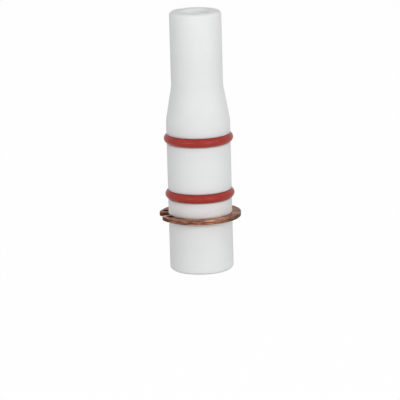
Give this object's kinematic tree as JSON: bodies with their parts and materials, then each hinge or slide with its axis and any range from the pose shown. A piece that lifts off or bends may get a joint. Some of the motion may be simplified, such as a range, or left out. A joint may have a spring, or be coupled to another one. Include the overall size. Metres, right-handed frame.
{
  "type": "torch insulating sleeve",
  "caption": "Turned insulating gas sleeve of a TIG torch, with two O-rings in grooves and an external retaining ring that is free to turn.",
  "frame": {"origin": "centre of the wide rear end's face, on the axis of the bore, where the sleeve stands", "axes": "+Z along the bore from the rear end to the narrow nose; the retaining ring's open gap faces -X"},
  "size_m": [0.0225, 0.0228, 0.073],
  "materials": {
    "ptfe": "white PTFE as turned, satin",
    "silicone": "red-brown silicone rubber, satin",
    "bronze": "stamped spring bronze, dulled and streaked"
  },
  "bodies": {
    "sleeve": {"sleeve": "ptfe", "rear_o_ring": "silicone", "front_o_ring": "silicone"},
    "retaining_ring": {"retaining_ring": "bronze"}
  },
  "joints": [
    {"name": "ring_turn", "type": "hinge", "parent": "sleeve", "child": "retaining_ring", "pos_m": [0, 0, 0.01558], "axis": [0, 0, 1], "continuous": true}
  ]
}
